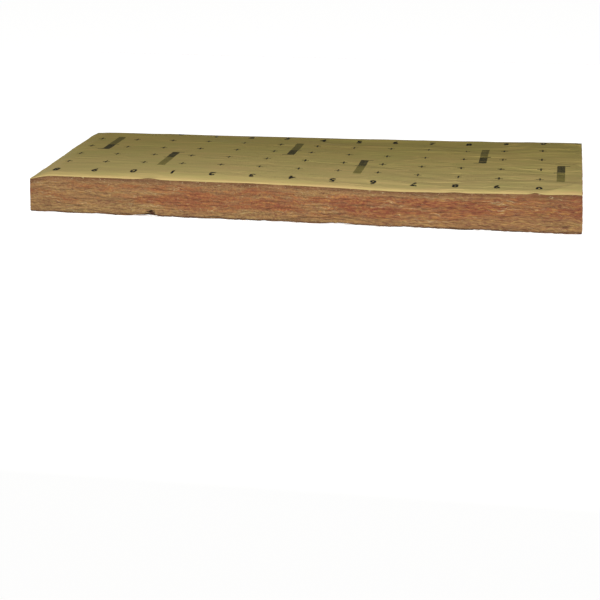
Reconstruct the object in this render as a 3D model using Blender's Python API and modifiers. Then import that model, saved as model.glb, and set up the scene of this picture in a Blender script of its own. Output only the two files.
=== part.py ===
"""Kraft-faced glass wool batt, lying on its bare side with the paper facing up.

Metres, +Z up. The origin is the centre of the underside; X runs along the batt and Y across it.
The paper is one sheet that covers the top and rolls down over both long edges, where handling has
pressed the wool down. The wool blanket follows the sheet's underside, a glue film below it.
"""
from math import ceil, cos, exp, pi

import bmesh
import bpy

# Driving dimensions of the batt
LENGTH = 1.350
WIDTH = 0.600
THICKNESS = 0.100
FACING_THICKNESS = 0.0004
GLUE_FILM = 0.0003
UNDERSIDE_EDGE_RADIUS = 0.004

# How the paper rolls over the two long edges
ROLL_WIDTH = 0.020
ROLL_DEPTH = 0.007
ROLL_STEPS = 4

# How far handling has pressed the wool down behind the roll
PRESSED_WIDTH = 0.060
FRONT_SAG_DEPTH = 0.006
FRONT_SAG_FROM_RIGHT_END = 0.400
FRONT_SAG_SPREAD = 0.200
BACK_SAG_LEFT = 0.011
BACK_SAG_RIGHT = 0.001

# The dented left corner at the front
CORNER_DROP = 0.010
CORNER_LENGTH = 0.060
CORNER_STEPS = 3

# Longest cell of the grid on the flat middle of the sheet
MIDDLE_CELL = 0.110

COLLECTION = "kraft_faced_batt"
KRAFT_COLOUR = (0.610, 0.445, 0.171, 1.0)
WOOL_COLOUR = (0.352, 0.175, 0.080, 1.0)


def clear_scene():
    for old in list(bpy.data.objects):
        bpy.data.objects.remove(old, do_unlink=True)


def make_material(name, colour, roughness):
    material = bpy.data.materials.new(name)
    material.use_nodes = True
    shader = material.node_tree.nodes["Principled BSDF"]
    shader.inputs["Base Color"].default_value = colour
    shader.inputs["Roughness"].default_value = roughness
    shader.inputs["Metallic"].default_value = 0.0
    return material


def add_object(name, mesh, material, collection):
    part = bpy.data.objects.new(name, mesh)
    mesh.materials.append(material)
    collection.objects.link(part)
    return part


def even_steps(start, end, count):
    """The places after start, up to and with end, in equal steps."""
    return [start + (end - start) * step / count for step in range(1, count + 1)]


def stations_from_centre(half, edge_places):
    """Places across a side, mirrored about 0: close together at the edges, even between them."""
    outer = [half - place for place in edge_places]
    inner_half = outer[-1]
    cells = ceil(2 * inner_half / MIDDLE_CELL)
    middle = even_steps(-inner_half, inner_half, cells)[:-1]
    return [-place for place in outer] + middle + outer[::-1]


def stations_across():
    rolled = [ROLL_WIDTH * (1 - cos(step * pi / 2 / ROLL_STEPS)) for step in range(ROLL_STEPS + 1)]
    pressed = even_steps(ROLL_WIDTH, ROLL_WIDTH + PRESSED_WIDTH, 2)
    return stations_from_centre(WIDTH / 2, rolled + pressed)


def stations_along():
    return stations_from_centre(LENGTH / 2, [0.0] + even_steps(0.0, CORNER_LENGTH, CORNER_STEPS))


def ease(distance, reach):
    """1 at the edge, 0 from reach inwards, flat at its inner end."""
    return max(0.0, 1.0 - distance / reach) ** 2


def roll_drop(from_edge):
    """A quarter ellipse, down by ROLL_DEPTH at the edge."""
    share = min(from_edge / ROLL_WIDTH, 1.0)
    return ROLL_DEPTH * (1.0 - (1.0 - (1.0 - share) ** 2) ** 0.5)


def front_sag(x):
    away = (x - (LENGTH / 2 - FRONT_SAG_FROM_RIGHT_END)) / FRONT_SAG_SPREAD
    return FRONT_SAG_DEPTH * exp(-away * away)


def back_sag(x):
    share = x / LENGTH + 0.5
    return BACK_SAG_LEFT + (BACK_SAG_RIGHT - BACK_SAG_LEFT) * share


def corner_drop(x):
    return CORNER_DROP * ease(x + LENGTH / 2, CORNER_LENGTH)


def facing_height(x, y):
    """Height of the paper's outer side above the floor."""
    from_edge = WIDTH / 2 - abs(y)
    sag = front_sag(x) + corner_drop(x) if y < 0 else back_sag(x)
    return THICKNESS - roll_drop(from_edge) - sag * ease(from_edge, ROLL_WIDTH + PRESSED_WIDTH)


def new_sheet():
    """The paper's outer side as an open grid."""
    along = stations_along()
    across = stations_across()
    sheet = bmesh.new()
    columns = len(along) - 1
    rows = len(across) - 1
    bmesh.ops.create_grid(sheet, x_segments=columns, y_segments=rows, size=0.5)
    for corner in sheet.verts:
        x = along[round((corner.co.x + 0.5) * columns)]
        y = across[round((corner.co.y + 0.5) * rows)]
        corner.co = (x, y, facing_height(x, y))
    sheet.normal_update()
    return sheet


def to_mesh(shape, name):
    mesh = bpy.data.meshes.new(name)
    bmesh.ops.recalc_face_normals(shape, faces=shape.faces)
    shape.to_mesh(mesh)
    shape.free()
    return mesh


def make_facing(collection):
    sheet = new_sheet()
    mesh = bpy.data.meshes.new("kraft_facing")
    sheet.to_mesh(mesh)
    sheet.free()
    mesh.shade_smooth()
    paper = make_material("kraft_paper", KRAFT_COLOUR, 0.62)
    facing = add_object("kraft_facing", mesh, paper, collection)
    thicken = facing.modifiers.new("paper_thickness", "SOLIDIFY")
    thicken.thickness = FACING_THICKNESS
    thicken.offset = -1.0
    return facing


def sink_below_facing(sheet):
    """Moves the sheet down along its normals by the paper and the glue film, with straight outer edges."""
    setback = FACING_THICKNESS + GLUE_FILM
    side = WIDTH / 2 - setback
    end = LENGTH / 2
    rim = {corner for edge in sheet.edges if edge.is_boundary for corner in edge.verts}
    at_side = [corner for corner in rim if abs(abs(corner.co.y) - WIDTH / 2) < GLUE_FILM / 2]
    at_end = [corner for corner in rim if abs(abs(corner.co.x) - end) < GLUE_FILM / 2]
    places = {corner: corner.co - corner.normal * setback for corner in sheet.verts}
    for corner, place in places.items():
        corner.co = place
    for corner in at_side:
        corner.co.y = side if corner.co.y > 0 else -side
    for corner in at_end:
        corner.co.x = end if corner.co.x > 0 else -end


def make_blanket(collection):
    block = new_sheet()
    sink_below_facing(block)
    extruded = bmesh.ops.extrude_face_region(block, geom=block.faces[:])["geom"]
    underside = [item for item in extruded if isinstance(item, bmesh.types.BMFace)]
    for corner in {corner for face in underside for corner in face.verts}:
        corner.co.z = 0.0
    sole = bmesh.ops.dissolve_faces(block, faces=underside)["region"]
    bmesh.ops.bevel(
        block,
        geom=list(sole[0].edges),
        offset=UNDERSIDE_EDGE_RADIUS,
        segments=2,
        profile=0.5,
        affect="EDGES",
        clamp_overlap=True,
    )
    mesh = to_mesh(block, "glass_wool_blanket")
    mesh.shade_smooth()
    mesh.set_sharp_from_angle(angle=0.7)
    wool = make_material("glass_wool", WOOL_COLOUR, 0.95)
    return add_object("glass_wool_blanket", mesh, wool, collection)


def main():
    clear_scene()
    collection = bpy.data.collections.new(COLLECTION)
    bpy.context.scene.collection.children.link(collection)
    make_blanket(collection)
    make_facing(collection)


main()
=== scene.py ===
"""The looks of a kraft-faced glass wool batt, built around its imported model.

Laid out as an add-on: an operator for each piece or group of like pieces, one for the studio, and a
panel that lists them.
Everything is in metres in the part's own frame: X along the batt, Y across it, Z up from its underside.
"""

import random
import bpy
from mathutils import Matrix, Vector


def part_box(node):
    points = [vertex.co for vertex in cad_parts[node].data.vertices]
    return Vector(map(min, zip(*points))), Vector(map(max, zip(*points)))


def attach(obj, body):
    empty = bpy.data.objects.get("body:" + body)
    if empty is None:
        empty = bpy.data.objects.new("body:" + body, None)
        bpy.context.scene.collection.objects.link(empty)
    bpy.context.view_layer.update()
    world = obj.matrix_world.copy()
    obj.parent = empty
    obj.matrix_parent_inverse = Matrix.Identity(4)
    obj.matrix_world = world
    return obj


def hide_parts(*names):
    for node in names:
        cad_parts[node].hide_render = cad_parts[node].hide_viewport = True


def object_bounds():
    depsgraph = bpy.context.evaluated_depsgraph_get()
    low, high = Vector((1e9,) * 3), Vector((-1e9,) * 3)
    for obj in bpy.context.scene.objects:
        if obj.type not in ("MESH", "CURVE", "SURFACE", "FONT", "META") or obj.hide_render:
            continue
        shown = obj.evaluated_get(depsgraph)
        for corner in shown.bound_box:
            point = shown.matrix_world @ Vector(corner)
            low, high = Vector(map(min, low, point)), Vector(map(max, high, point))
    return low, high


bl_info = {
    "name": "Glass Wool Batt",
    "version": (1, 0, 0),
    "blender": (4, 5, 0),
    "location": "View3D > Sidebar > Batt",
    "description": "Models a kraft-faced glass wool batt: layered wool, creased paper and printed marks",
    "category": "Object",
}

from math import cos, exp, pi, radians, sin, tau

import bmesh
import bpy
import numpy as np
from bpy.props import FloatProperty, FloatVectorProperty, IntProperty, PointerProperty
from mathutils import Vector, noise

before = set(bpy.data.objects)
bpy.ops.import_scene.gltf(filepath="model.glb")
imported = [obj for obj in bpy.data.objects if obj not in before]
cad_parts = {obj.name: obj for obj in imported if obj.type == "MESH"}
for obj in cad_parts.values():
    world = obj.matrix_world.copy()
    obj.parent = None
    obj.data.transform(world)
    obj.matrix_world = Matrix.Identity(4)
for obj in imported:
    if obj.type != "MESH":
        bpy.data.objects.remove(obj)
cad_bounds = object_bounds()

PAPER_PIECE = "kraft_paper_facing"
WOOL_NODE = "glass_wool_blanket"
PAPER_NODE = "kraft_facing"

# The batt's own sizes, read from the frame
BATT_HIGH = cad_bounds[1]
WOOL_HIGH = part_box(WOOL_NODE)[1]
HALF_LENGTH = BATT_HIGH.x
HALF_WIDTH = BATT_HIGH.y
THICKNESS = BATT_HIGH.z
WOOL_HALF_WIDTH = WOOL_HIGH.y
WALL_RUN = 4 * (HALF_LENGTH + WOOL_HALF_WIDTH)

# A place this near a face of the block lies on it
TOUCH = 1e-4

# The paper's roll over the long edges, and how far handling has pressed the wool down beside them
ROLL_WIDTH = 0.026
ROLL_DEPTH = 0.0060
FRONT_PRESSED_REACH = 0.080
FRONT_SAG_DEPTH = 0.006
FRONT_SAG_CENTRE = HALF_LENGTH - 0.400
FRONT_SAG_SPREAD = 0.200
BACK_EDGE_DROP_LEFT = 0.0134
BACK_EDGE_DROP_RIGHT = 0.0002
BACK_ROLL_DEPTH = 0.0020
BACK_FALL_START = 0.250
BACK_CORNER_FALL_START = 0.224
BACK_CORNER_FALL_ALONG = (-0.44, -0.54)
BACK_SLOPE_DROP = 0.0050
BACK_SLOPE_ACROSS = (0.14, 0.26)
BACK_SLOPE_LEFT = (-0.56, -0.27)
BACK_SLOPE_RIGHT = (0.55, 0.30)
BACK_VALLEY_DEPTH = 0.0032
BACK_VALLEY_CENTRE = 0.06
BACK_VALLEY_SPREAD = 0.09
BACK_VALLEY_ACROSS = (0.0, 0.14)
LEFT_END_DROP_BACK = 0.0106
LEFT_END_DROP_FRONT = 0.0152
LEFT_END_REACH = 0.048
RIGHT_END_DROP = 0.0010
RIGHT_END_REACH = 0.020

# Small dents in the paper's right end: place across the batt, half width, depth
RIGHT_END_DENTS = ((0.003, 0.009, 0.0050), (-0.235, 0.007, 0.0040))

# The paper, and the glue between it and the wool
PAPER_THICKNESS = 0.0004
GLUE_GAP = 0.0004

# The unevenness of the paper's long rims: how far in it reaches, how far it lifts and flares them
RIM_REACH = 0.008
RIM_LIFT = 0.0011
RIM_FLARE = 0.0005

# The fold that slants away from the front edge at the right end
FOLD_START = 0.575
FOLD_FULL = HALF_LENGTH - 0.015
FOLD_HEIGHT = 0.0108
FOLD_REACH = 0.060
FOLD_FADE = 0.014

# The facing's slow wave along the batt, and the lift of its right back corner
SWAY_HEIGHT = 0.0045
SWAY_CREST = -0.28
SWAY_HALF_WAVE = 0.68
SWAY_CALM_ACROSS = (-0.10, 0.20)
SWAY_FRONT_FADE = (0.0, 0.050)
BACK_CORNER_LIFT = 0.0078
BACK_CORNER_ALONG = (0.36, 0.64)
BACK_CORNER_ACROSS = (-0.12, 0.15)

# Where tufts of wool push the paper's front edge up: place along the batt, half length, height
EDGE_TUFTS = ((-0.372, 0.022, 0.0035), (0.378, 0.022, 0.0022), (0.568, 0.013, 0.0044))

# Notches in the lower front edge: place along the batt, half length, height
HEM_NOTCHES = ((-0.3695, 0.0095, 0.0165), (0.120, 0.016, 0.0030), (-0.085, 0.007, 0.0025))
NOTCH_DEPTH = 0.011

# How far the ends spread at the floor and at the paper
END_SPREAD_LOW = 0.0060
LEFT_END_SPREAD_HIGH = 0.0042
RIGHT_END_SPREAD_HIGH = 0.0012

# How far the foot of the long sides spreads, and how far they belly at half height
FRONT_FOOT_LEFT = 0.003
FRONT_FOOT_RIGHT = 0.008
BACK_FOOT = 0.003
BELLY = 0.002

# Rings that close the block above and below: how far each lies in from the cut faces
TOP_INSETS = (0.002, 0.006, 0.012, 0.020, 0.040, 0.085, 0.130, 0.180, 0.230, 0.275)
SOLE_INSETS = (0.002, 0.005, 0.010, 0.018, 0.030)

# How far the block's top sinks below the paper inside its rim, and how far in it reaches that
TOP_SINK = 0.0045
TOP_SINK_REACH = 0.030

# Where the walls' relief fades out: under the paper, above the floor and beside the upright corners
TUCK_BELOW_PAPER = 0.012
TUCK_ABOVE_FLOOR = 0.006
TUCK_BESIDE_CORNER = 0.022

# How far in the foot of the walls lies, and how far in and up the frayed lower edge and its notches reach
FOOT_TUCK = 0.0012
FRAY_REACH = 0.014
FRAY_HEIGHT = 0.030
NOTCH_REACH = 0.045

# Painted shade: the dark line under the paper's roll, and the depths between which the wool turns dark
# below the paper, partly its own colour and partly painted shade
ROLL_SHADE = 0.004
UNDER_PAPER_FADE = (0.030, 0.004)

# Share of the loose fibres that hang at the lower edges, and a fibre's radius
HEM_FIBRE_SHARE = 0.16
FIBRE_RADIUS = 0.00013

# The printed cutting marks: a cross every decimetre, and a row of digits along each long edge
MARK_PITCH = 0.100
MARK_COLUMNS = 13
MARK_ROWS = 6
FIRST_DIGIT = 8
BAR_COLUMNS_BACK = (0.5, 5.5, 10.5)
BAR_COLUMNS_FRONT = (2.5, 7.5, 12.5)

# Lengths of a cross's two arms, and how many times the line that is set their print is wide
CROSS_ALONG = 0.019
CROSS_ACROSS = 0.022
ARM_ALONG_SPREAD = 1.4
ARM_ACROSS_SPREAD = 1.8

# A digit's height as a share of the font's size, its narrowing, the spread of its strokes, and its cuts
DIGIT_SHARE = 0.74
DIGIT_NARROWING = 0.75
STROKE_SPREAD = 0.0020
DIGIT_CUTS = 5

# From the facing's middle line: a bar's inner end, the two sides of its change of tone, its outer end
BAR_INNER = 0.010
BAR_DARK_END = 0.0775
BAR_PALE_START = 0.0780
BAR_OUTER = 0.176

# The short lines beside a bar: place from the middle line, length, and how far off the bar's side
INNER_STUB = (0.0120, 0.012, 0.0062)
OUTER_STUB = (0.0778, 0.008, 0.0042)

# Height from which the print is dropped on the paper
PRINT_START = 0.2

# Low lights below the level of the paper: name, place along and across, width, share of the power
LOW_SOFTBOXES = (
    ("back", 0.0, 2.40, 2.6, 1.0),
    ("left", -2.40, 0.0, 1.2, 0.3),
    ("right", 2.40, 0.0, 1.2, 0.6),
)
LOW_LIGHT_HEIGHT = 0.045


class WoolSettings(bpy.types.PropertyGroup):
    """How the glass wool is laid and cut"""

    cell_length: FloatProperty(
        name="Cell Length", description="Length of a cell of the walls' grid along the batt",
        default=0.0052, unit="LENGTH",
    )
    cell_height: FloatProperty(
        name="Cell Height", description="Height of a cell of the walls' grid",
        default=0.0014, unit="LENGTH",
    )
    wander: FloatProperty(
        name="Layer Wander", description="How far a layer of wool climbs and sinks along the batt",
        default=0.009, unit="LENGTH",
    )
    relief: FloatProperty(
        name="Layer Relief", description="How far the layers stand out of a long side",
        default=0.0031, unit="LENGTH",
    )
    rib_pitch: FloatProperty(
        name="Blade Rib Pitch", description="Distance between the upright ribs on the ends",
        default=0.0095, unit="LENGTH",
    )
    rib_depth: FloatProperty(
        name="Blade Rib Depth", description="Depth of the ribs on the ends",
        default=0.0011, unit="LENGTH",
    )
    hem_lift: FloatProperty(
        name="Hem Lift", description="How far the lower edge stands off the floor where it is frayed",
        default=0.0035, unit="LENGTH",
    )
    fibre_count: IntProperty(
        name="Loose Fibres", description="Loose fibres that stand off the four cut faces",
        default=3600,
    )
    ochre: FloatVectorProperty(
        name="Ochre Wool", description="Colour of the pale wool between the red layers",
        subtype="COLOR", size=4, default=(0.398, 0.224, 0.096, 1.0),
    )
    rose: FloatVectorProperty(
        name="Red Wool", description="Colour of the layers with most binder",
        subtype="COLOR", size=4, default=(0.345, 0.120, 0.055, 1.0),
    )
    cream: FloatVectorProperty(
        name="Cream Fleck", description="Colour of clean clumps of fibre",
        subtype="COLOR", size=4, default=(0.600, 0.450, 0.245, 1.0),
    )
    # Painted shade: the wool is darkened towards this colour in cracks and gaps between layers, in the
    # ribs' grooves, in the lower edge's notches and under the paper's roll
    shade: FloatVectorProperty(
        name="Wool Shade", description="Colour in the gaps between layers",
        subtype="COLOR", size=4, default=(0.118, 0.046, 0.029, 1.0),
    )
    # Besides small dark spots of the wool's own colour, this colour paints shade: the band under the paper
    # is partly painted shade, and the lower edge's dark line is a painted contact shadow
    plum: FloatVectorProperty(
        name="Wool Under Paper", description="Colour of the dark wool that sticks to the paper",
        subtype="COLOR", size=4, default=(0.156, 0.064, 0.035, 1.0),
    )


class PaperSettings(bpy.types.PropertyGroup):
    """The kraft paper facing and its print"""

    columns: IntProperty(
        name="Columns", description="Cells of the paper's grid along the batt", default=160,
    )
    rows: IntProperty(
        name="Rows", description="Cells of the paper's grid across the batt", default=290,
    )
    turned_down: FloatProperty(
        name="Turned Down", description="Paper that hangs straight down below the roll of the long edges",
        default=0.0008, unit="LENGTH",
    )
    wrinkle_height: FloatProperty(
        name="Wrinkle Height", description="Height of the fine wrinkles that run along the batt",
        default=0.0012, unit="LENGTH",
    )
    cockle_height: FloatProperty(
        name="Cockle Height", description="Height of the soft waves between the wrinkles",
        default=0.0024, unit="LENGTH",
    )
    billow_height: FloatProperty(
        name="Billow Height", description="Height of the broad unevenness of the facing",
        default=0.0016, unit="LENGTH",
    )
    band_height: FloatProperty(
        name="Band Height", description="Height of the close soft bands that run along the batt",
        default=0.0005, unit="LENGTH",
    )
    kraft: FloatVectorProperty(
        name="Kraft Paper", description="Colour of the paper at the front",
        subtype="COLOR", size=4, default=(0.610, 0.480, 0.180, 1.0),
    )
    # Colour blended in towards the back of the paper, yellower than at the front
    back_kraft: FloatVectorProperty(
        name="Aged Kraft Paper", description="Colour of the paper towards the back",
        subtype="COLOR", size=4, default=(0.600, 0.474, 0.135, 1.0),
    )
    rolled_kraft: FloatVectorProperty(
        name="Rolled Kraft Paper", description="Colour of the paper where it rolls over the front edge",
        subtype="COLOR", size=4, default=(0.580, 0.432, 0.171, 1.0),
    )
    ink: FloatVectorProperty(
        name="Ink", description="Colour of the printed digits and crosses",
        subtype="COLOR", size=4, default=(0.014, 0.013, 0.011, 1.0),
    )
    bar_ink: FloatVectorProperty(
        name="Bar Ink", description="Colour of the densely printed part of a bar",
        subtype="COLOR", size=4, default=(0.058, 0.053, 0.022, 1.0),
    )
    pale_ink: FloatVectorProperty(
        name="Pale Ink", description="Colour of the thinly printed part of a bar",
        subtype="COLOR", size=4, default=(0.226, 0.188, 0.050, 1.0),
    )
    digit_height: FloatProperty(
        name="Digit Height", description="Height of a printed digit", default=0.030, unit="LENGTH",
    )
    cross_line: FloatProperty(
        name="Cross Line", description="Width of a printed cross's lines", default=0.0022, unit="LENGTH",
    )
    bar_width: FloatProperty(
        name="Bar Width", description="Width of a printed bar", default=0.020, unit="LENGTH",
    )
    ink_lift: FloatProperty(
        name="Ink Lift", description="How far the print's upper side lies above the paper",
        default=0.00010, unit="LENGTH",
    )


class StudioSettings(bpy.types.PropertyGroup):
    """The camera, the floor and the lights"""

    lens: FloatProperty(
        name="Lens", description="Focal length on a 36 mm sensor, in millimetres", default=93.5,
    )
    camera_place: FloatVectorProperty(
        name="Camera Place", description="Where the camera stands", size=3,
        subtype="TRANSLATION", unit="LENGTH", default=(0.622, -3.933, 0.9375),
    )
    camera_down: FloatProperty(
        name="Camera Tilt", description="How far the camera looks down",
        subtype="ANGLE", default=radians(17.11),
    )
    camera_left: FloatProperty(
        name="Camera Turn", description="How far the camera looks to the left of straight across the batt",
        subtype="ANGLE", default=radians(9.66),
    )
    key_power: FloatProperty(
        name="Key Power", description="Power of the soft light in front, in watts", default=33.3,
    )
    side_power: FloatProperty(
        name="Side Power", description="Watts of the low light behind; those beside it have a share",
        default=34.0,
    )
    sky_strength: FloatProperty(
        name="Fill Strength", description="Strength of the even light from all round", default=0.085,
    )
    floor_glow: FloatProperty(
        name="Floor Glow", description="Light that the pale floor gives off by itself", default=0.91,
    )


def noise_at(x, y, z):
    return noise.noise(Vector((x, y, z)))


def ease(distance, reach):
    """1 at the edge, 0 from reach inwards, flat at its inner end."""
    return max(0.0, 1.0 - distance / reach) ** 2


def smooth_step(low, high, value):
    share = min(max((value - low) / (high - low), 0.0), 1.0)
    return share * share * (3.0 - 2.0 * share)


def left_end_ramp(x):
    """1 at the left end, 0 from LEFT_END_REACH inwards, nearly straight between."""
    return max(0.0, 1.0 - (x + HALF_LENGTH) / LEFT_END_REACH) ** 1.3


def left_end_drop(x, y):
    front = ((HALF_WIDTH - y) / (2 * HALF_WIDTH)) ** 2
    drop = LEFT_END_DROP_BACK + (LEFT_END_DROP_FRONT - LEFT_END_DROP_BACK) * front
    return drop * left_end_ramp(x)


def right_end_drop(x, y):
    dents = bump_up(y, RIGHT_END_DENTS) * ease(HALF_LENGTH - x, 0.7 * RIGHT_END_REACH)
    return RIGHT_END_DROP * ease(HALF_LENGTH - x, RIGHT_END_REACH) + dents


def press_down(x, y):
    """How far handling has pressed the wool down near the edges."""
    from_edge = HALF_WIDTH - abs(y)
    end_drop = left_end_drop(x, y)
    if y < 0:
        away = (x - FRONT_SAG_CENTRE) / FRONT_SAG_SPREAD
        sag = (FRONT_SAG_DEPTH * exp(-away * away) + end_drop) * ease(from_edge, FRONT_PRESSED_REACH)
    else:
        away = (x - BACK_VALLEY_CENTRE) / BACK_VALLEY_SPREAD
        sag = BACK_SLOPE_DROP * smooth_step(*BACK_SLOPE_ACROSS, y)
        sag *= smooth_step(*BACK_SLOPE_LEFT, x) * smooth_step(*BACK_SLOPE_RIGHT, x)
        sag += BACK_VALLEY_DEPTH * exp(-away * away) * smooth_step(*BACK_VALLEY_ACROSS, y)
    return max(sag, end_drop) + right_end_drop(x, y)


def back_edge_height(x):
    """Height of the paper's back edge, which climbs from left to right."""
    share = (x + HALF_LENGTH) / (2 * HALF_LENGTH)
    drop = BACK_EDGE_DROP_LEFT + (BACK_EDGE_DROP_RIGHT - BACK_EDGE_DROP_LEFT) * share
    return THICKNESS - drop


def back_fall(x, y):
    """How far the paper has bent towards its back edge: 0 on the flat, 1 at the edge."""
    earlier = (BACK_CORNER_FALL_START - BACK_FALL_START) * smooth_step(*BACK_CORNER_FALL_ALONG, x)
    start = BACK_FALL_START + earlier
    share = max(0.0, (y - start) / (HALF_WIDTH - start))
    return 1.1 * share * share / (share + 0.1)


def sway(x, y):
    """Height of the facing's slow wave, which dies out at the front edge, and of its lifted corner."""
    wave = SWAY_HEIGHT * cos(pi * (x - SWAY_CREST) / SWAY_HALF_WAVE)
    wave *= 1.0 - 0.85 * smooth_step(*SWAY_CALM_ACROSS, y)
    lift = BACK_CORNER_LIFT * smooth_step(*BACK_CORNER_ALONG, x) * smooth_step(*BACK_CORNER_ACROSS, y)
    return wave * smooth_step(*SWAY_FRONT_FADE, HALF_WIDTH + y) + lift


def bump_up(x, bumps):
    """Height of a row of rounded bumps."""
    return sum(height * exp(-((x - place) / half) ** 2) for place, half, height in bumps)


def end_spread(x, z):
    """How far the batt's ends stand out at a height; nothing in its middle."""
    share = min(max(z / THICKNESS, 0.0), 1.0)
    high = LEFT_END_SPREAD_HIGH if x < 0 else RIGHT_END_SPREAD_HIGH
    spread = END_SPREAD_LOW + (high - END_SPREAD_LOW) * share
    return spread * (x / HALF_LENGTH) ** 9


def side_swell(x, side, share):
    """How far a long side stands out at a share of its height."""
    foot = BACK_FOOT
    if side < 0:
        foot = FRONT_FOOT_LEFT + (FRONT_FOOT_RIGHT - FRONT_FOOT_LEFT) * smooth_step(-0.3, 0.5, x)
    return foot * (1.0 - share) ** 1.5 + BELLY * sin(pi * share)


def roll_drop(from_edge):
    """A quarter ellipse: 1 at the edge, 0 from ROLL_WIDTH inwards."""
    share = min(max(from_edge, 0.0) / ROLL_WIDTH, 1.0)
    return 1.0 - (1.0 - (1.0 - share) ** 2) ** 0.5


def wander_across(x, y):
    """The place across the batt that wrinkles follow, which wanders along it."""
    return y + 0.030 * noise_at(x / 0.24, y / 0.16, 17.3)


def wrinkle_crest(x, y):
    """How near a place is to the crest of a wrinkle, from 0 to about 1.6."""
    tight = smooth_step(-0.35, 0.55, x)
    across = wander_across(x, y)
    wrinkle = 0.0
    for seed, pitch, run, strength in ((21.9, 0.050, 0.17, 1.0), (47.1, 0.030, 0.09, 0.6)):
        fold = noise_at(x / run, across / pitch, seed)
        crest = max(0.0, 1.0 - abs(fold) / 0.085) ** 1.4
        patch = smooth_step(-0.02, 0.24, noise_at(x / 0.09, y / 0.05, seed + 19.3) + 0.20 * tight - 0.08)
        wrinkle += strength * crest * patch * (0.40 + 0.60 * tight)
    return wrinkle


def paper_relief(x, y, settings):
    """Wrinkles and billows of the facing, as a height."""
    tight = smooth_step(-0.35, 0.55, x)
    across = wander_across(x, y)
    billow = noise_at(x / 0.22, y / 0.12, 3.1)
    cockle = noise_at(x / 0.15, across / 0.040, 8.7) * (0.30 + 0.70 * tight)
    band = noise_at(x / 0.075, across / 0.013, 61.0) * (0.90 + 0.10 * tight)
    height = settings.billow_height * billow + settings.cockle_height * cockle
    height += settings.band_height * band
    return height + settings.wrinkle_height * wrinkle_crest(x, y)


def corner_fold(x, y):
    """Height of the fold at the right front corner, and its share at a place."""
    share = smooth_step(FOLD_START, FOLD_FULL, x)
    reach = 0.004 + FOLD_REACH * share ** 1.7
    from_edge = HALF_WIDTH + y
    if from_edge < reach:
        return FOLD_HEIGHT * share * (0.20 + 0.80 * from_edge / reach), share
    fading = exp(-(from_edge - reach) / FOLD_FADE)
    return FOLD_HEIGHT * share * fading, share * fading


def paper_height(x, y, settings):
    """Height of the paper's outer side, wrinkles and all, inside the roll."""
    from_edge = HALF_WIDTH - abs(y)
    calm = 0.25 + 0.75 * smooth_step(0.0, 0.6 * ROLL_WIDTH, from_edge)
    height = THICKNESS - press_down(x, y) + sway(x, y)
    if y < 0:
        depth = ROLL_DEPTH * (1.0 - 0.85 * left_end_ramp(x))
    else:
        depth = BACK_ROLL_DEPTH
        height += (back_edge_height(x) - height) * back_fall(x, y)
    fold, folded = corner_fold(x, y)
    calm *= 1.0 - 0.8 * folded
    return height - depth * roll_drop(from_edge) + fold + paper_relief(x, y, settings) * calm


def deselect_all():
    if bpy.context.object and bpy.context.object.mode != "OBJECT":
        bpy.ops.object.mode_set(mode="OBJECT")
    bpy.ops.object.select_all(action="DESELECT")


def select_only(*pieces):
    """Selects the pieces and nothing else, and makes the first one active."""
    deselect_all()
    for piece in pieces:
        piece.select_set(True)
    bpy.context.view_layer.objects.active = pieces[0]


def take_name(name):
    piece = bpy.context.object
    piece.name = name
    piece.data.name = name
    return piece


def choose(piece, kind, test):
    """In edit mode, selects the vertices, edges or faces that pass the test, and nothing else."""
    bpy.ops.mesh.select_mode(type=kind)
    bpy.ops.mesh.select_all(action="DESELECT")
    mesh = bmesh.from_edit_mesh(piece.data)
    elements = {"VERT": mesh.verts, "EDGE": mesh.edges, "FACE": mesh.faces}[kind]
    for element in elements:
        if test(element):
            element.select_set(True)
    bmesh.update_edit_mesh(piece.data)


def move_vertices(piece, mover):
    """Moves each vertex of a finished cage to mover(place)."""
    mesh = piece.data
    places = np.empty(len(mesh.vertices) * 3, np.float32)
    mesh.vertices.foreach_get("co", places)
    moved = np.array([mover(Vector(place)) for place in places.reshape(-1, 3)], np.float32)
    mesh.vertices.foreach_set("co", moved.ravel())
    mesh.update()


def point_outwards():
    """Turns all faces of the active piece outwards."""
    bpy.ops.object.mode_set(mode="EDIT")
    bpy.ops.mesh.select_all(action="SELECT")
    bpy.ops.mesh.normals_make_consistent(inside=False)
    bpy.ops.object.mode_set(mode="OBJECT")


def split(piece, direction, cells):
    """Cuts every edge that runs along a direction into equal cells, in two goes."""
    first = max(1, round(cells ** 0.5))
    axis = "xyz".index(direction)

    def runs_along(edge):
        run = edge.verts[1].co - edge.verts[0].co
        return abs(run[axis]) > 0.99 * run.length

    for cuts in (first - 1, round(cells / first) - 1):
        choose(piece, "EDGE", runs_along)
        bpy.ops.mesh.subdivide(number_cuts=cuts, smoothness=0.0)


def cap_rim(piece, height, insets):
    """Closes an open rim with rings that step inwards and a flat face in the middle."""
    choose(piece, "EDGE", lambda edge: edge.is_boundary and abs(edge.verts[0].co.z - height) < 1e-5)
    length, width = HALF_LENGTH, WOOL_HALF_WIDTH
    for inset in insets:
        shrink = ((HALF_LENGTH - inset) / length, (WOOL_HALF_WIDTH - inset) / width, 1.0)
        bpy.ops.mesh.extrude_region()
        bpy.ops.transform.resize(value=shrink, center_override=(0.0, 0.0, height))
        length, width = HALF_LENGTH - inset, WOOL_HALF_WIDTH - inset
    bpy.ops.mesh.edge_face_add()


def grain(place, reach, level):
    """Noise with the same grain along and across the batt, at a level of its own."""
    return noise_at(place.x / reach, place.y / reach, level)


def layer_height(place, wander):
    """Height measured in the wool's own layers, which climb and sink along the batt."""
    slow = grain(place, 0.26, place.z / 0.14 + 2.0)
    quick = grain(place, 0.05, place.z / 0.03 + 9.0)
    curl = grain(place, 0.020, place.z / 0.014 + 4.0)
    return place.z + wander * (slow + 0.30 * quick + 0.14 * curl)


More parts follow.
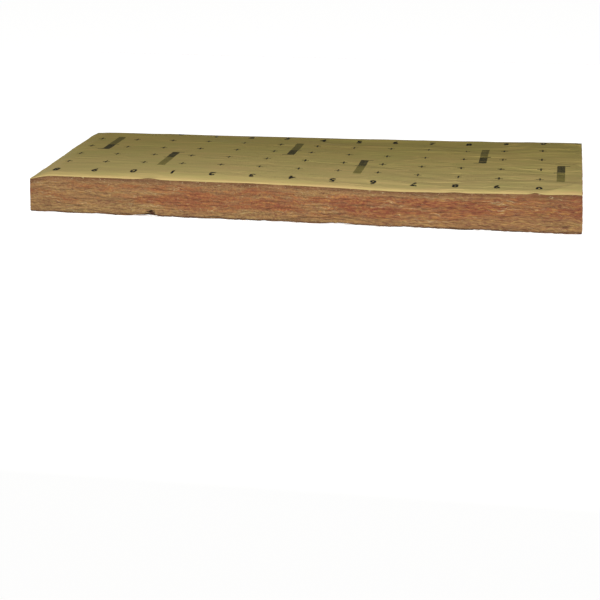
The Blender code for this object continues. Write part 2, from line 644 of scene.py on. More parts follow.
def layer_relief(place, settings):
    """How far the wool stands out at a place, from -1 to 1, and how deep in a gap it is, from 0 to 1,
    which sets its painted shade.
    """
    height = layer_height(place, settings.wander)
    broad = grain(place, 0.17, height / 0.026 + 5.0)
    layer = grain(place, 0.055, height / 0.0066 + 31.0)
    strand = grain(place, 0.021, height / 0.0034 + 57.0)
    gap = max(0.0, 1.0 - abs(layer + 0.05) / 0.07)
    open_gap = gap * smooth_step(0.0, 0.3, grain(place, 0.08, height / 0.012 + 83.0))
    stand = 0.60 * broad + 0.60 * layer + 0.60 * strand - 0.7 * open_gap
    hollow = 0.38 - 0.40 * layer - 0.60 * strand + 0.45 * open_gap
    return stand, min(max(hollow, 0.0), 1.0)


def blade_ribs(place, settings):
    """Upright ribs of an end, from -1 to 1."""
    sway = 0.35 * settings.rib_pitch * noise_at(place.y / 0.04, place.z / 0.05, 71.0)
    wave = cos(tau * (place.y + sway) / settings.rib_pitch)
    strength = 0.65 + 0.6 * noise_at(place.y / 0.05, place.z / 0.03, 77.0)
    return wave * strength


def shape_wall(place, result, top, wool):
    """Moves a place of the walls out by its layers, ribs and belly, and gives how hollow it is, which sets
    the painted shade of gaps, rib grooves and the line under the paper's roll.
    """
    from_side = WOOL_HALF_WIDTH - abs(place.y)
    from_end = HALF_LENGTH - abs(place.x)
    stand, hollow = layer_relief(place, wool)
    if min(from_side, from_end) >= TOUCH:
        return hollow
    tuck = smooth_step(0.0, TUCK_BELOW_PAPER, top + GLUE_GAP - result.z)
    tuck *= 0.25 + 0.75 * smooth_step(0.0, TUCK_BESIDE_CORNER, max(from_side, from_end))
    hem = smooth_step(0.0, TUCK_ABOVE_FLOOR, result.z)
    depth = wool.relief * stand * tuck * (0.4 + 0.6 * hem) - FOOT_TUCK * (1 - hem)
    if from_end < TOUCH:
        ribs = blade_ribs(place, wool)
        result.x += (depth * 0.6 + wool.rib_depth * ribs * tuck) * (1 if place.x > 0 else -1)
        # Painted shade: darker in the ribs' grooves, lighter on their crests
        hollow = min(max(hollow - 0.28 * ribs, 0.0), 1.0)
    if from_side < TOUCH:
        side = 1 if place.y > 0 else -1
        result.y += side * (depth + side_swell(place.x, side, place.z / WOOL_HIGH.z))
    # Painted shade: a dark line in the wool just under the paper's roll
    under_roll = smooth_step(ROLL_SHADE, 0.0, abs(top - ROLL_SHADE - result.z))
    return max(hollow, 0.55 * under_roll)


def fray_hem(place, result, inset, wool):
    """Lifts and notches the block's lower edge, and gives how hollow the notches make it, which paints
    shadow inside them.
    """
    frayed = 0.5 + grain(place, 0.06, 91.0) + 0.35 * grain(place, 0.012, 97.0)
    lift = wool.hem_lift * max(0.0, frayed) ** 2 * ease(max(inset, 0.0), FRAY_REACH)
    result.z += lift * smooth_step(FRAY_HEIGHT, 0.0, place.z)
    if place.y >= 0:
        return 0.0
    notch = bump_up(place.x, HEM_NOTCHES)
    notched = smooth_step(-0.001, 0.002, notch - place.z)
    result.y += NOTCH_DEPTH * notched * ease(max(WOOL_HALF_WIDTH + place.y, 0.0), NOTCH_REACH)
    # Painted shadow: the notches are darkened as well as cut in
    return 1.5 * notched * min(1.0, notch / 0.004)


def shape_wool(piece, wool, paper):
    """Lays the relief of layers, ribs and frayed lower edges on the block."""
    hollows = []
    unders = []

    def shaped(place):
        inset = min(WOOL_HALF_WIDTH - abs(place.y), HALF_LENGTH - abs(place.x))
        top = paper_height(place.x, place.y, paper) - (THICKNESS - WOOL_HIGH.z) - GLUE_GAP
        result = place.copy()
        if place.z > WOOL_HIGH.z - TOUCH:
            result.z = top - TOP_SINK * smooth_step(0.0, TOP_SINK_REACH, inset)
        else:
            result.z = top * (place.z / WOOL_HIGH.z)
        hollow = shape_wall(place, result, top, wool)
        hollow = max(hollow, fray_hem(place, result, inset, wool))
        result.x += end_spread(place.x, result.z)
        hollows.append(hollow)
        unders.append(smooth_step(*UNDER_PAPER_FADE, top - result.z))
        return result

    move_vertices(piece, shaped)
    # The hollow attribute carries the painted shade of the wool's gaps, rib grooves, notches and the line
    # under the paper's roll
    for name, values in (("hollow", hollows), ("under_paper", unders)):
        piece.data.attributes.new(name, "FLOAT", "POINT").data.foreach_set("value", values)


def shade_by_angle(piece, angle):
    select_only(piece)
    bpy.ops.object.shade_smooth_by_angle(angle=angle)


class Nodes:
    """Shorthand for building a material's nodes."""

    def __init__(self, name):
        self.material = bpy.data.materials.new(name)
        self.material.use_nodes = True
        self.tree = self.material.node_tree

    def feed(self, node, sockets):
        """Links outputs to a node's sockets, or sets the sockets' own values, by name or number."""
        for key, value in sockets.items():
            if isinstance(value, bpy.types.NodeSocket):
                self.tree.links.new(value, node.inputs[key])
            else:
                node.inputs[key].default_value = value

    def add(self, kind, sockets, **values):
        node = self.tree.nodes.new(kind)
        for key, value in values.items():
            setattr(node, key, value)
        self.feed(node, sockets)
        return node

    def surface(self, sockets):
        """Feeds the shader's own sockets, and gives the material."""
        self.feed(self.tree.nodes["Principled BSDF"], sockets)
        return self.material

    def place(self):
        return self.add("ShaderNodeTexCoord", {}).outputs["Object"]

    def parts(self, vector):
        """The X, Y and Z of a vector."""
        return self.add("ShaderNodeSeparateXYZ", {0: vector}).outputs

    def attribute(self, name):
        return self.add("ShaderNodeAttribute", {}, attribute_name=name).outputs["Fac"]

    def noise(self, vector, scale, detail=3.0, roughness=0.55, offset=(0.0, 0.0, 0.0)):
        """Noise whose grain is 1 / scale metres along each axis."""
        stretched = self.add("ShaderNodeMapping", {"Vector": vector, "Scale": scale, "Location": offset})
        sockets = {"Vector": stretched.outputs[0], "Scale": 1.0, "Detail": detail, "Roughness": roughness}
        return self.add("ShaderNodeTexNoise", sockets).outputs["Fac"]

    def math(self, operation, *values):
        return self.add("ShaderNodeMath", dict(enumerate(values)), operation=operation).outputs[0]

    def times(self, first, second):
        return self.math("MULTIPLY", first, second)

    def plus(self, value, factor, rest):
        """value times factor, plus rest."""
        return self.math("MULTIPLY_ADD", value, factor, rest)

    def between(self, value, low, high, to_low=0.0, to_high=1.0):
        """A smooth step from to_low, where value is low, to to_high, where it is high."""
        sockets = dict(enumerate((value, low, high, to_low, to_high)))
        return self.add("ShaderNodeMapRange", sockets, interpolation_type="SMOOTHSTEP").outputs["Result"]

    def ridge(self, value, width):
        """Thin lines where a noise crosses its middle."""
        away = self.math("ABSOLUTE", self.math("SUBTRACT", value, 0.5))
        return self.between(away, 0.0, width, 1.0, 0.0)

    def mix(self, share, first, second):
        """A share of the second colour in the first."""
        return self.add("ShaderNodeMix", {0: share, 6: first, 7: second}, data_type="RGBA").outputs[2]

    def tint(self, colour, value, hue=0.5):
        """A colour made brighter or darker, and turned in hue."""
        sockets = {"Color": colour, "Value": value, "Hue": hue}
        return self.add("ShaderNodeHueSaturation", sockets).outputs[0]

    def bump(self, height, distance, strength, under=None):
        """A normal from a height, on top of the normal under it."""
        sockets = {"Height": height, "Distance": distance, "Strength": strength}
        if under is not None:
            sockets["Normal"] = under
        return self.add("ShaderNodeBump", sockets).outputs["Normal"]


def wool_layers(nodes, place):
    """Coordinates that follow the wool's layers: they climb and sink, and run longer to the right."""
    along, across, wander = nodes.parts(place)
    for scale, detail, offset, reach in (
        ((3.8, 3.8, 7.0), 1.0, (0.0, 0.0, 0.0), 0.034),
        ((24.0, 24.0, 34.0), 2.0, (3.0, 1.0, 5.0), 0.018),
        ((75.0, 75.0, 105.0), 2.0, (1.0, 4.0, 2.0), 0.008),
    ):
        climb = nodes.math("SUBTRACT", nodes.noise(place, scale, detail, offset=offset), 0.5)
        wander = nodes.plus(climb, reach, wander)
    drawn = nodes.math("ADD", along, nodes.between(along, -0.40, 0.20, 0.0, 0.14))
    drawn = nodes.math("SUBTRACT", drawn, nodes.between(along, 0.10, 0.90, 0.0, 0.27))
    layers = nodes.add("ShaderNodeCombineXYZ", {"X": drawn, "Y": across, "Z": wander})
    return layers.outputs[0], wander


def wool_material(settings):
    """Layered wool: ochre and red layers, pale clumps, painted shade in the gaps, notches and along the
    lower edge, a dark band under the paper that is partly painted shade, and fibres along the layers.
    """
    nodes = Nodes("glass_wool_layers")
    place = nodes.place()
    along, _, height = nodes.parts(place)
    layers, wander = wool_layers(nodes, place)
    swatches = (settings.ochre, settings.rose, settings.cream, settings.shade, settings.plum)
    ochre, rose, cream, shade, plum = (tuple(swatch) for swatch in swatches)

    band = nodes.noise(layers, (5.5, 5.5, 46.0), 2.0, 0.5)
    strand = nodes.noise(layers, (32.0, 32.0, 190.0), 5.0, 0.66, (1.0, 7.0, 3.0))
    fibre = nodes.noise(layers, (130.0, 130.0, 500.0), 5.0, 0.76, (4.0, 2.0, 8.0))
    felt = nodes.noise(layers, (140.0, 140.0, 280.0), 4.0, 0.66, (7.0, 6.0, 4.0))
    patch = nodes.noise(layers, (14.0, 14.0, 62.0), 2.0, offset=(6.0, 3.0, 2.0))

    middle = nodes.between(wander, 0.062, 0.092, 1.0, 0.0)
    middle = nodes.times(nodes.between(wander, 0.010, 0.045), middle)
    redness = nodes.plus(strand, 0.42, nodes.times(band, 0.38))
    redness = nodes.plus(felt, 0.20, redness)
    redness = nodes.plus(middle, 0.075, redness)
    redness = nodes.math("ADD", redness, nodes.between(along, -0.42, -0.14, -0.028, 0.012))
    colour = nodes.mix(nodes.between(redness, 0.465, 0.620), ochre, rose)
    foot = nodes.math("SUBTRACT", wander, nodes.between(along, 0.25, 0.58, 0.0, 0.026))
    colour = nodes.mix(nodes.between(foot, 0.004, 0.032, 0.62, 0.0), colour, ochre)

    thread = nodes.noise(layers, (22.0, 22.0, 140.0), 2.0, 0.60, (9.0, 5.0, 1.0))
    pale = nodes.times(nodes.ridge(thread, 0.026), nodes.between(patch, 0.53, 0.62))
    colour = nodes.mix(nodes.times(pale, 0.60), colour, cream)
    # Painted shade: thin dark lines along the cracks between layers, together with the hollow attribute's
    # shade of gaps, rib grooves, notches and the line under the paper's roll, darken the wool towards the
    # shade colour
    crack = nodes.noise(layers, (12.0, 12.0, 150.0), 2.0, 0.55, (2.0, 8.0, 5.0))
    seam = nodes.noise(layers, (11.0, 11.0, 55.0), 2.0, offset=(5.0, 9.0, 7.0))
    dark = nodes.times(nodes.ridge(crack, 0.022), nodes.between(seam, 0.52, 0.62))
    hollow = nodes.between(nodes.attribute("hollow"), 0.52, 1.40, 0.0, 0.92)
    dark = nodes.math("MAXIMUM", nodes.times(dark, 0.60), hollow)
    colour = nodes.mix(dark, colour, shade)
    spot = nodes.noise(layers, (70.0, 70.0, 300.0), 3.0, 0.60, (8.0, 1.0, 9.0))
    colour = nodes.mix(nodes.between(spot, 0.57, 0.70, 0.0, 0.60), colour, plum)

    # A ragged dark band under the paper: partly the dark wool stuck to it, partly painted shade below the
    # paper's edge
    ragged = nodes.plus(patch, 0.8, nodes.attribute("under_paper"))
    ragged = nodes.plus(felt, 1.3, nodes.plus(strand, 1.0, ragged))
    under = nodes.between(ragged, 2.20, 2.76, 0.0, 0.95)
    # Painted contact shadow: the wool is darkened along its lower edge, where it meets the floor
    hem = nodes.between(nodes.plus(strand, 0.008, height), 0.0070, 0.0120, 0.80, 0.0)
    under = nodes.math("MAXIMUM", under, hem)
    colour = nodes.mix(under, colour, plum)
    fleck = nodes.noise(layers, (110.0, 110.0, 330.0), 4.0, 0.65, (3.0, 3.0, 3.0))
    fleck = nodes.times(nodes.between(fleck, 0.56, 0.68), nodes.between(under, 0.05, 0.4))
    colour = nodes.mix(nodes.times(fleck, 0.70), colour, cream)

    streak = nodes.plus(fibre, 0.70, nodes.plus(strand, 0.75, -0.655))
    streak = nodes.plus(felt, 1.47, nodes.plus(patch, 0.35, streak))
    gain = nodes.between(along, -0.45, 0.40, 1.0, 1.30)
    streak = nodes.plus(nodes.math("SUBTRACT", streak, 0.98), gain, 0.98)
    coarse = nodes.bump(strand, 0.0042, 0.60)
    return nodes.surface({
        "Base Color": nodes.tint(colour, streak, nodes.plus(streak, 0.065, 0.440)),
        "Normal": nodes.bump(fibre, 0.0016, 0.60, coarse),
        "Roughness": 0.92,
        "Specular IOR Level": 0.18,
        "Sheen Weight": 0.12,
        "Sheen Roughness": 0.45,
    })


def fibre_material(settings):
    """Loose strands of glass, from ochre to cream."""
    nodes = Nodes("glass_fibre_strands")
    tone = nodes.between(nodes.noise(nodes.place(), (30.0, 30.0, 60.0), 2.0), 0.47, 0.72)
    return nodes.surface({
        "Base Color": nodes.mix(tone, tuple(settings.ochre), tuple(settings.cream)),
        "Roughness": 0.6,
        "Specular IOR Level": 0.3,
    })


def paper_grain(nodes, place):
    """The kraft paper's fine cockle and grain, as a normal."""
    cockle = nodes.noise(place, (14.0, 85.0, 60.0))
    grain = nodes.noise(place, (260.0, 900.0, 400.0), 3.0, 0.7, (3.0, 2.0, 1.0))
    return nodes.bump(grain, 0.00012, 0.5, nodes.bump(cockle, 0.0010, 0.55))


def paper_material(settings):
    """Smooth brown kraft paper with faint streaks along the batt, mottling, and painted highlights on the
    wrinkles' crests.
    """
    nodes = Nodes("brown_kraft_paper")
    place = nodes.place()
    across = nodes.parts(place)["Y"]
    mottle = nodes.noise(place, (7.0, 9.0, 9.0), 4.0, 0.6)
    # Faint paler and darker streaks along the batt, in the paper's colour
    streak = nodes.noise(place, (7.0, 80.0, 60.0), 4.0, 0.65, (2.0, 4.0, 6.0))
    speck = nodes.noise(place, (420.0, 900.0, 600.0), 2.0, 0.6)
    # Painted highlight: the paper is made paler, and a touch warmer in hue, along the wrinkles' crests
    crest = nodes.attribute("crest")
    tone = nodes.plus(streak, 0.40, nodes.plus(mottle, 0.20, 0.655))
    tone = nodes.plus(crest, 0.15, nodes.plus(speck, 0.12, tone))
    hue = nodes.plus(nodes.math("ADD", streak, mottle), -0.045, 0.545)
    hue = nodes.plus(crest, -0.006, hue)
    # The paper turns from its front colour to a yellower one towards the back
    towards_back = nodes.between(across, -HALF_WIDTH, HALF_WIDTH)
    colour = nodes.mix(towards_back, tuple(settings.kraft), tuple(settings.back_kraft))
    rolled = nodes.between(across, -HALF_WIDTH + 0.002, -HALF_WIDTH + 0.018, 1.0, 0.0)
    colour = nodes.mix(rolled, colour, tuple(settings.rolled_kraft))
    return nodes.surface({
        "Base Color": nodes.tint(colour, tone, hue),
        "Normal": paper_grain(nodes, place),
        "Roughness": nodes.plus(mottle, 0.14, 0.46),
        "Specular IOR Level": 0.22,
    })


def ink_material(name, colour, cover):
    """Print on kraft paper: it thins out in specks, and shares the paper's grain."""
    nodes = Nodes(name)
    place = nodes.place()
    speck = nodes.noise(place, (420.0, 420.0, 420.0), 3.0, 0.7)
    worn = nodes.between(speck, cover, cover + 0.16, 0.0, 0.45)
    colour = nodes.mix(worn, tuple(colour), tuple(bpy.context.scene.batt_paper.kraft))
    # Painted light: the print is lighter towards the front and darker towards the back
    value = nodes.between(nodes.parts(place)["Y"], -0.18, 0.18, 1.12, 0.88)
    return nodes.surface({
        "Base Color": nodes.tint(colour, value),
        "Normal": paper_grain(nodes, place),
        "Roughness": 0.5,
        "Specular IOR Level": 0.25,
    })


class BATT_OT_wool_blanket(bpy.types.Operator):
    """Models the block of glass wool with its layers, blade ribs and frayed lower edge"""

    bl_idname = "batt.wool_blanket"
    bl_label = "Glass Wool Blanket"
    bl_options = {"REGISTER", "UNDO"}

    def execute(self, context):
        wool = context.scene.batt_wool
        deselect_all()
        size = (2 * HALF_LENGTH, 2 * WOOL_HALF_WIDTH, WOOL_HIGH.z)
        bpy.ops.mesh.primitive_cube_add(size=1.0, location=(0.0, 0.0, WOOL_HIGH.z / 2), scale=size)
        bpy.ops.object.transform_apply(location=True, rotation=True, scale=True)
        piece = take_name("wool_blanket")
        bpy.ops.object.mode_set(mode="EDIT")
        choose(piece, "FACE", lambda face: abs(face.normal.z) > 0.9)
        bpy.ops.mesh.delete(type="ONLY_FACE")
        split(piece, "x", size[0] / wool.cell_length)
        # The ends have upright ribs, so their cells are half as long
        split(piece, "y", size[1] / (0.5 * wool.cell_length))
        split(piece, "z", size[2] / wool.cell_height)
        cap_rim(piece, WOOL_HIGH.z, TOP_INSETS)
        cap_rim(piece, 0.0, SOLE_INSETS)
        point_outwards()
        shape_wool(piece, wool, context.scene.batt_paper)
        shade_by_angle(piece, radians(60))
        piece.data.materials.append(wool_material(wool))
        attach(piece, "root")
        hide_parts(WOOL_NODE)
        return {"FINISHED"}


class BATT_OT_loose_fibres(bpy.types.Operator):
    """Lays loose fibres on the four cut faces of the wool"""

    bl_idname = "batt.loose_fibres"
    bl_label = "Loose Fibres"
    bl_options = {"REGISTER", "UNDO"}

    def execute(self, context):
        wool = context.scene.batt_wool
        draw = random.Random(11)
        curve = bpy.data.curves.new("loose_fibres", "CURVE")
        curve.dimensions = "3D"
        curve.bevel_depth = FIBRE_RADIUS
        curve.bevel_resolution = 0
        for _ in range(wool.fibre_count):
            add_fibre(curve, draw, draw.uniform(0.0, WALL_RUN), wool)
        fibres = bpy.data.objects.new("loose_fibres", curve)
        context.scene.collection.objects.link(fibres)
        select_only(fibres)
        bpy.ops.object.convert(target="MESH")
        piece = take_name("loose_fibres")
        piece.data.shade_smooth()
        piece.data.materials.append(fibre_material(wool))
        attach(piece, "root")
        return {"FINISHED"}


def wall_place(run, height, out, wool):
    """A place on the wool's four walls, run metres round them from the left front corner."""
    length, width = 2 * HALF_LENGTH, 2 * WOOL_HALF_WIDTH
    share = min(height / THICKNESS, 1.0)
    if run < length:
        x, side = run - HALF_LENGTH, -1
    elif run < length + width:
        x, y, side = HALF_LENGTH, run - length - WOOL_HALF_WIDTH, 0
    elif run < 2 * length + width:
        x, side = HALF_LENGTH - (run - length - width), 1
    else:
        x, y, side = -HALF_LENGTH, WOOL_HALF_WIDTH - min(run - 2 * length - width, width), 0
    if side:
        y = side * WOOL_HALF_WIDTH
    stand = layer_relief(Vector((x, y, height)), wool)[0] * wool.relief
    if side:
        y += side * (out + stand + side_swell(x, side, share))
        return Vector((x + end_spread(x, height), y, height))
    out += 0.6 * stand
    return Vector((x + end_spread(x, height) + (out if x > 0 else -out), y, height))


def add_fibre(curve, draw, start, wool):
    """One wavy fibre that lies along the layers and lifts off the wall in the middle."""
    reach = draw.uniform(0.008, 0.045)
    at_hem = draw.random() < HEM_FIBRE_SHARE
    height = draw.uniform(0.0008, 0.006) if at_hem else draw.uniform(0.002, 0.086)
    climb = draw.gauss(0.0, 0.14) * reach
    lift = draw.uniform(0.0002, 0.0020)
    bundle = draw.choice((1.0, 1.0, 1.0, 1.0, 1.4, 2.0))
    phase = draw.uniform(0.0, tau)
    steps = 6
    spline = curve.splines.new("POLY")
    spline.points.add(steps)
    for step in range(steps + 1):
        share = step / steps
        run = (start + reach * share) % WALL_RUN
        bow = lift * sin(pi * share) - 0.0004
        wave = 0.05 * reach * sin(phase + 5.0 * share)
        at = wall_place(run, max(0.0006, height + climb * share + wave), bow, wool)
        spline.points[step].co = (at.x, at.y, at.z, 1.0)
        spline.points[step].radius = bundle * (0.3 + 0.7 * sin(pi * share))


class BATT_OT_kraft_facing(bpy.types.Operator):
    """Models the paper facing, rolled over both long edges and wrinkled along the batt"""

    bl_idname = "batt.kraft_facing"
    bl_label = "Kraft Paper Facing"
    bl_options = {"REGISTER", "UNDO"}

    def execute(self, context):
        paper = context.scene.batt_paper
        deselect_all()
        bpy.ops.mesh.primitive_grid_add(x_subdivisions=paper.columns, y_subdivisions=paper.rows, size=1.0)
        piece = take_name(PAPER_PIECE)
        section = paper_section(paper)
        half_arc = section[0][-1]
        crests = []

        def laid(place):
            x = place.x * 2 * HALF_LENGTH
            along_section = abs(place.y) * 2 * half_arc
            y = float(np.interp(along_section, section[0], section[1]))
            hang = float(np.interp(along_section, section[0], section[2]))
            side = 1.0 if place.y > 0 else -1.0
            height = paper_height(x, y * side, paper) - hang
            crests.append(wrinkle_crest(x, y * side))
            at_rim = ease(HALF_WIDTH - y, RIM_REACH)
            tufts = bump_up(x, EDGE_TUFTS) if side < 0 else 0.0
            height += at_rim * (RIM_LIFT * noise_at(x / 0.09, 5.0 * side, 1.0) + tufts)
            flare = RIM_FLARE * at_rim * noise_at(x / 0.05, 8.0 * side, 2.0)
            return Vector((x + end_spread(x, height), y * side + flare * side, height))

        move_vertices(piece, laid)
        # The crest attribute feeds the paper's painted highlight along the wrinkles
        piece.data.attributes.new("crest", "FLOAT", "POINT").data.foreach_set("value", crests)
        point_outwards()
        thickness = piece.modifiers.new("paper_thickness", "SOLIDIFY")
        thickness.thickness = PAPER_THICKNESS
        thickness.offset = -1.0
        bpy.ops.object.modifier_apply(modifier=thickness.name)
        shade_by_angle(piece, radians(50))
        piece.data.materials.append(paper_material(paper))
        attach(piece, "root")
        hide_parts(PAPER_NODE)
        return {"FINISHED"}


def paper_section(settings):
    """Half of the paper's section: arc length from the middle, place across, hang below the roll."""
    turns = [pi / 2 * step / 24 for step in range(25)]
    across = [0.0] + [HALF_WIDTH - ROLL_WIDTH * (1 - sin(turn)) for turn in turns]
    drops = [0.0] + [ROLL_DEPTH * (1 - cos(turn)) for turn in turns]
    across.append(HALF_WIDTH)
    drops.append(ROLL_DEPTH + settings.turned_down)
    arc = [0.0]
    for step in range(1, len(across)):
        run = Vector((across[step] - across[step - 1], drops[step] - drops[step - 1]))
        arc.append(arc[-1] + run.length)
    hang = [0.0] * (len(across) - 1) + [settings.turned_down]
    return arc, across, hang


def mark_place(column, row):
    x = (column - (MARK_COLUMNS - 1) / 2 - 0.25) * MARK_PITCH
    y = (row - (MARK_ROWS - 1) / 2) * MARK_PITCH
    return x, y


def print_on_paper(name, outlines, paper, material):
    """Joins flat outlines and lays them on the paper as a film of ink, a hair above and inside it."""
    select_only(*outlines)
    bpy.ops.object.join()
    piece = take_name(name)
    drop = piece.modifiers.new("laid_on_paper", "SHRINKWRAP")
    drop.target = bpy.data.objects[PAPER_PIECE]
    drop.wrap_method = "PROJECT"
    drop.use_project_z = True
    drop.use_negative_direction = True
    drop.use_positive_direction = False
    drop.offset = paper.ink_lift
    bpy.ops.object.modifier_apply(modifier=drop.name)
    film = piece.modifiers.new("ink_film", "SOLIDIFY")
    film.thickness = 2.0 * paper.ink_lift
    film.offset = -1.0
    bpy.ops.object.modifier_apply(modifier=film.name)
    piece.data.materials.append(material)
    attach(piece, "root")


def add_patch(name, x, y, width, height, cells_x, cells_y):
    """A flat gridded rectangle above the facing."""
    deselect_all()
    bpy.ops.mesh.primitive_grid_add(x_subdivisions=cells_x, y_subdivisions=cells_y, size=1.0)
    patch = take_name(name)
    move_vertices(patch, lambda place: Vector((x + place.x * width, y + place.y * height, PRINT_START)))
    return patch


class BATT_OT_printed_digits(bpy.types.Operator):
    """Prints the decimetre digits along both long edges"""

    bl_idname = "batt.printed_digits"
    bl_label = "Printed Digits"
    bl_options = {"REGISTER", "UNDO"}

    def execute(self, context):
        paper = context.scene.batt_paper
        digits = []
        for column in range(MARK_COLUMNS):
            for row in (0, MARK_ROWS - 1):
                digits.append(self.outline_digit(paper, column, row))
        print_on_paper("printed_digits", digits, paper, ink_material("digit_ink", paper.ink, 0.72))
        return {"FINISHED"}

    def outline_digit(self, paper, column, row):
        deselect_all()
        x, y = mark_place(column, row)
        bpy.ops.object.text_add(location=(0.0, 0.0, 0.0))
        text = bpy.context.object.data
        text.body = str((FIRST_DIGIT + column) % 10)
        text.align_x = "CENTER"
        text.align_y = "CENTER"
        text.size = paper.digit_height / DIGIT_SHARE
        text.offset = STROKE_SPREAD
        text.resolution_u = 3
        bpy.ops.object.convert(target="MESH")
        digit = bpy.context.object
        digit.data.materials.clear()
        facing = 1.0 if row else -1.0

        def placed(place):
            return Vector((x + facing * DIGIT_NARROWING * place.x, y + facing * place.y, PRINT_START))

        move_vertices(digit, placed)
        bpy.ops.object.mode_set(mode="EDIT")
        bpy.ops.mesh.select_all(action="SELECT")
        bpy.ops.mesh.remove_doubles(threshold=0.00005)
        bpy.ops.mesh.quads_convert_to_tris()
        bpy.ops.mesh.subdivide(number_cuts=DIGIT_CUTS)
        bpy.ops.object.mode_set(mode="OBJECT")
        return digit


class BATT_OT_printed_crosses(bpy.types.Operator):
    """Prints a small cross at every decimetre of the facing's middle"""

    bl_idname = "batt.printed_crosses"
    bl_label = "Printed Crosses"
    bl_options = {"REGISTER", "UNDO"}

    def execute(self, context):
        paper = context.scene.batt_paper
        line = paper.cross_line
        arm = (CROSS_ACROSS - line) / 2
        arms = []
        for column in range(MARK_COLUMNS):
            for row in range(1, MARK_ROWS - 1):
                x, y = mark_place(column, row)
                arms.append(add_patch("cross_along", x, y, CROSS_ALONG, ARM_ALONG_SPREAD * line, 8, 1))
                for side in (-1.0, 1.0):
                    outer = y + side * (line + arm) / 2
                    width = ARM_ACROSS_SPREAD * line
                    arms.append(add_patch("cross_across", x, outer, width, arm, 2, 6))
        print_on_paper("printed_crosses", arms, paper, ink_material("cross_ink", paper.ink, 0.56))
        return {"FINISHED"}


class BATT_OT_printed_bars(bpy.types.Operator):
    """Prints plain two-tone bars between the columns of crosses"""

    bl_idname = "batt.printed_bars"
    bl_label = "Printed Bars"
    bl_options = {"REGISTER", "UNDO"}

    def execute(self, context):
        paper = context.scene.batt_paper
        dark = ink_material("bar_dark_ink", paper.bar_ink, 0.50)
        pale = ink_material("bar_pale_ink", paper.pale_ink, 0.50)
        self.print_halves("printed_bars_dark", paper, dark, BAR_INNER, BAR_DARK_END)
        self.print_stubs("printed_bar_lines", paper, dark)
        self.print_halves("printed_bars_pale", paper, pale, BAR_PALE_START, BAR_OUTER)
        return {"FINISHED"}

    def bar_places(self):
        """Each bar's side of the facing's middle line, and its place along the batt."""
        for side, columns in ((1.0, BAR_COLUMNS_BACK), (-1.0, BAR_COLUMNS_FRONT)):
            for column in columns:
                yield side, mark_place(column, 0)[0]

    def print_halves(self, name, paper, material, inner, outer):
        """One half of every bar, between two distances from the facing's middle line."""
        halves = []
        for side, x in self.bar_places():
            y = side * (inner + outer) / 2
            halves.append(add_patch(name, x, y, paper.bar_width, outer - inner, 8, 36))
        print_on_paper(name, halves, paper, material)

    def print_stubs(self, name, paper, material):
        """Short lines beside each bar: at its inner end, and opposite where its tone changes."""
        stubs = []
        line = ARM_ACROSS_SPREAD * paper.cross_line
        for side, x in self.bar_places():
            for facing, cells, (away, length, gap) in ((-side, 6, INNER_STUB), (side, 4, OUTER_STUB)):
                place = x + facing * (paper.bar_width / 2 + gap)
                stubs.append(add_patch("stub", place, side * away, length, line, cells, 2))
        print_on_paper(name, stubs, paper, material)


def floor_material(glow):
    return Nodes("pale_floor").surface({
        "Base Color": (0.86, 0.86, 0.85, 1.0),
        "Roughness": 0.9,
        "Specular IOR Level": 0.1,
        "Emission Color": (1.0, 1.0, 1.0, 1.0),
        "Emission Strength": glow,
    })


def add_softbox(name, place, target, size, power):
    """A soft rectangular light that is aimed at a target and isn't seen or mirrored itself."""
    bpy.ops.object.light_add(type="AREA", location=place)
    light = bpy.context.object
    light.name = name
    light.data.shape = "RECTANGLE"
    light.data.size, light.data.size_y = size
    light.data.energy = power
    light.data.spread = pi
    light.visible_camera = False
    light.visible_glossy = False
    light.rotation_euler = (Vector(target) - light.location).to_track_quat("-Z", "Y").to_euler()


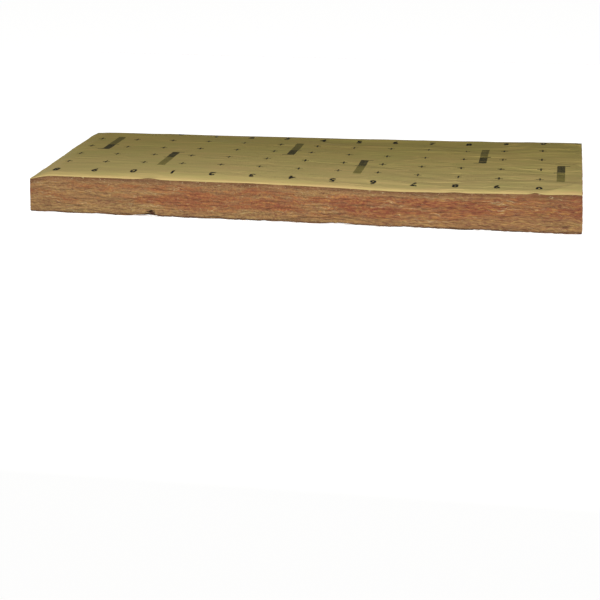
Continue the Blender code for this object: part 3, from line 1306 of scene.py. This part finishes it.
class BATT_OT_studio(bpy.types.Operator):
    """Adds the camera, the pale floor and the soft lights"""

    bl_idname = "batt.studio"
    bl_label = "Studio"
    bl_options = {"REGISTER", "UNDO"}

    def execute(self, context):
        studio = context.scene.batt_studio
        deselect_all()
        turn = (pi / 2 - studio.camera_down, 0.0, studio.camera_left)
        bpy.ops.object.camera_add(location=studio.camera_place, rotation=turn)
        camera = context.object
        camera.data.lens = studio.lens
        camera.data.sensor_width = 36.0
        context.scene.camera = camera

        bpy.ops.mesh.primitive_plane_add(size=400.0, location=(0.0, 0.0, -0.0005))
        floor = take_name("pale_floor")
        floor.data.materials.append(floor_material(studio.floor_glow))
        floor.visible_diffuse = False

        key_place = (0.0, -1.50, 0.80)
        add_softbox("front_softbox", key_place, (0.0, 0.0, 0.10), (3.0, 0.35), studio.key_power)
        for name, x, y, width, share in LOW_SOFTBOXES:
            place = (x, y, LOW_LIGHT_HEIGHT)
            target = (0.0, 0.0, LOW_LIGHT_HEIGHT)
            add_softbox(name + "_softbox", place, target, (width, 0.07), share * studio.side_power)
        context.scene.world = self.make_world(studio)
        context.scene.view_settings.view_transform = "Standard"
        return {"FINISHED"}

    def make_world(self, studio):
        """Faint even fill light from a backdrop that itself looks white."""
        world = bpy.data.worlds.new("even_fill")
        world.use_nodes = True
        tree = world.node_tree
        background = tree.nodes["Background"]
        background.inputs["Color"].default_value = (1.0, 0.99, 0.94, 1.0)
        strength = tree.nodes.new("ShaderNodeMapRange")
        strength.inputs["To Min"].default_value = studio.sky_strength
        strength.inputs["To Max"].default_value = 1.0
        path = tree.nodes.new("ShaderNodeLightPath")
        tree.links.new(path.outputs["Is Camera Ray"], strength.inputs["Value"])
        tree.links.new(strength.outputs["Result"], background.inputs["Strength"])
        return world


class BATT_PT_pieces(bpy.types.Panel):
    """Lists the batt's pieces and their settings"""

    bl_label = "Glass Wool Batt"
    bl_idname = "BATT_PT_pieces"
    bl_space_type = "VIEW_3D"
    bl_region_type = "UI"
    bl_category = "Batt"

    def draw(self, context):
        for operator in OPERATORS:
            self.layout.operator(operator.bl_idname)
        for title, group in (
            ("Wool", context.scene.batt_wool),
            ("Paper", context.scene.batt_paper),
            ("Studio", context.scene.batt_studio),
        ):
            box = self.layout.box()
            box.label(text=title)
            for name in group.bl_rna.properties.keys():
                if name not in ("rna_type", "name"):
                    box.prop(group, name)


OPERATORS = (
    BATT_OT_wool_blanket,
    BATT_OT_loose_fibres,
    BATT_OT_kraft_facing,
    BATT_OT_printed_digits,
    BATT_OT_printed_crosses,
    BATT_OT_printed_bars,
    BATT_OT_studio,
)
CLASSES = (WoolSettings, PaperSettings, StudioSettings, *OPERATORS, BATT_PT_pieces)


def register():
    for made in CLASSES:
        bpy.utils.register_class(made)
    bpy.types.Scene.batt_wool = PointerProperty(type=WoolSettings)
    bpy.types.Scene.batt_paper = PointerProperty(type=PaperSettings)
    bpy.types.Scene.batt_studio = PointerProperty(type=StudioSettings)


def unregister():
    del bpy.types.Scene.batt_studio
    del bpy.types.Scene.batt_paper
    del bpy.types.Scene.batt_wool
    for made in reversed(CLASSES):
        bpy.utils.unregister_class(made)


def main():
    register()
    bpy.ops.batt.wool_blanket()
    bpy.ops.batt.loose_fibres()
    bpy.ops.batt.kraft_facing()
    bpy.ops.batt.printed_digits()
    bpy.ops.batt.printed_crosses()
    bpy.ops.batt.printed_bars()
    bpy.ops.batt.studio()


if __name__ == "__main__":
    main()
